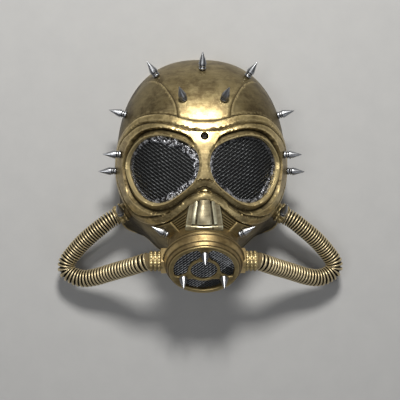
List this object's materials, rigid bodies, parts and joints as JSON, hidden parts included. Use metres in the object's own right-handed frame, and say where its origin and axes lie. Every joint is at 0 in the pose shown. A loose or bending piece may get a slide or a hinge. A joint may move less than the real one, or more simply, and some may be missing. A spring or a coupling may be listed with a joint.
{
  "type": "gas mask",
  "caption": "Spiked costume gas mask: a gold face shell with mesh goggles, a filter canister, side hoses and a head strap.",
  "frame": {"origin": "centre of the bounding box of the mask without its hoses, on the rim plane that it lies on", "axes": "+Z out of the face (straight up as the mask lies on its rim), +Y towards the crown, +X across the face"},
  "size_m": [0.306, 0.2477, 0.1244],
  "materials": {
    "antique_gold": "moulded plastic painted antique gold with a dark wash",
    "dark_gold": "moulded plastic painted dark bronze gold",
    "hose_gold": "corrugated hose, gold ribs over black grooves",
    "spike_silver": "polished plated metal",
    "screw_steel": "zinc plated",
    "black_mesh": "stiff woven mesh",
    "black_glue": "glossy glue bead",
    "black_elastic": "woven elastic",
    "black_plastic": "moulded plastic"
  },
  "bodies": {
    "mask": {"face_shell": "antique_gold", "nose_duct": "antique_gold", "left_vent_louvre": "dark_gold", "right_vent_louvre": "dark_gold", "left_eye_mesh": "black_mesh", "right_eye_mesh": "black_mesh", "left_eye_bead": "black_glue", "right_eye_bead": "black_glue", "canister_body": "antique_gold", "canister_collar": "dark_gold", "filter_grille": "antique_gold", "filter_mesh": "black_mesh", "left_filter_port": "antique_gold", "right_filter_port": "antique_gold", "left_cheek_port": "antique_gold", "right_cheek_port": "antique_gold", "left_hose": "hose_gold", "right_hose": "hose_gold", "crown_spikes": "spike_silver", "forehead_spikes": "spike_silver", "left_temple_spikes": "spike_silver", "right_temple_spikes": "spike_silver", "cheek_spikes": "spike_silver", "snout_spikes": "spike_silver", "grille_spikes": "spike_silver", "spike_screws": "screw_steel", "bridge_screw": "screw_steel", "left_strap_plate": "black_plastic", "right_strap_plate": "black_plastic", "left_strap_rivet": "screw_steel", "right_strap_rivet": "screw_steel"},
    "strap": {"head_strap": "black_elastic"},
    "adjuster": {"strap_adjuster": "black_plastic"}
  },
  "joints": [
    {"name": "strap_swing", "type": "hinge", "parent": "mask", "child": "strap", "pos_m": [0, 0.01685, 0.0125], "axis": [-1, 0, 0], "range_deg": [0, 95]},
    {"name": "adjuster_slide", "type": "slide", "parent": "strap", "child": "adjuster", "axis": [1, 0, 0], "range_m": [-0.025, 0.025]}
  ]
}
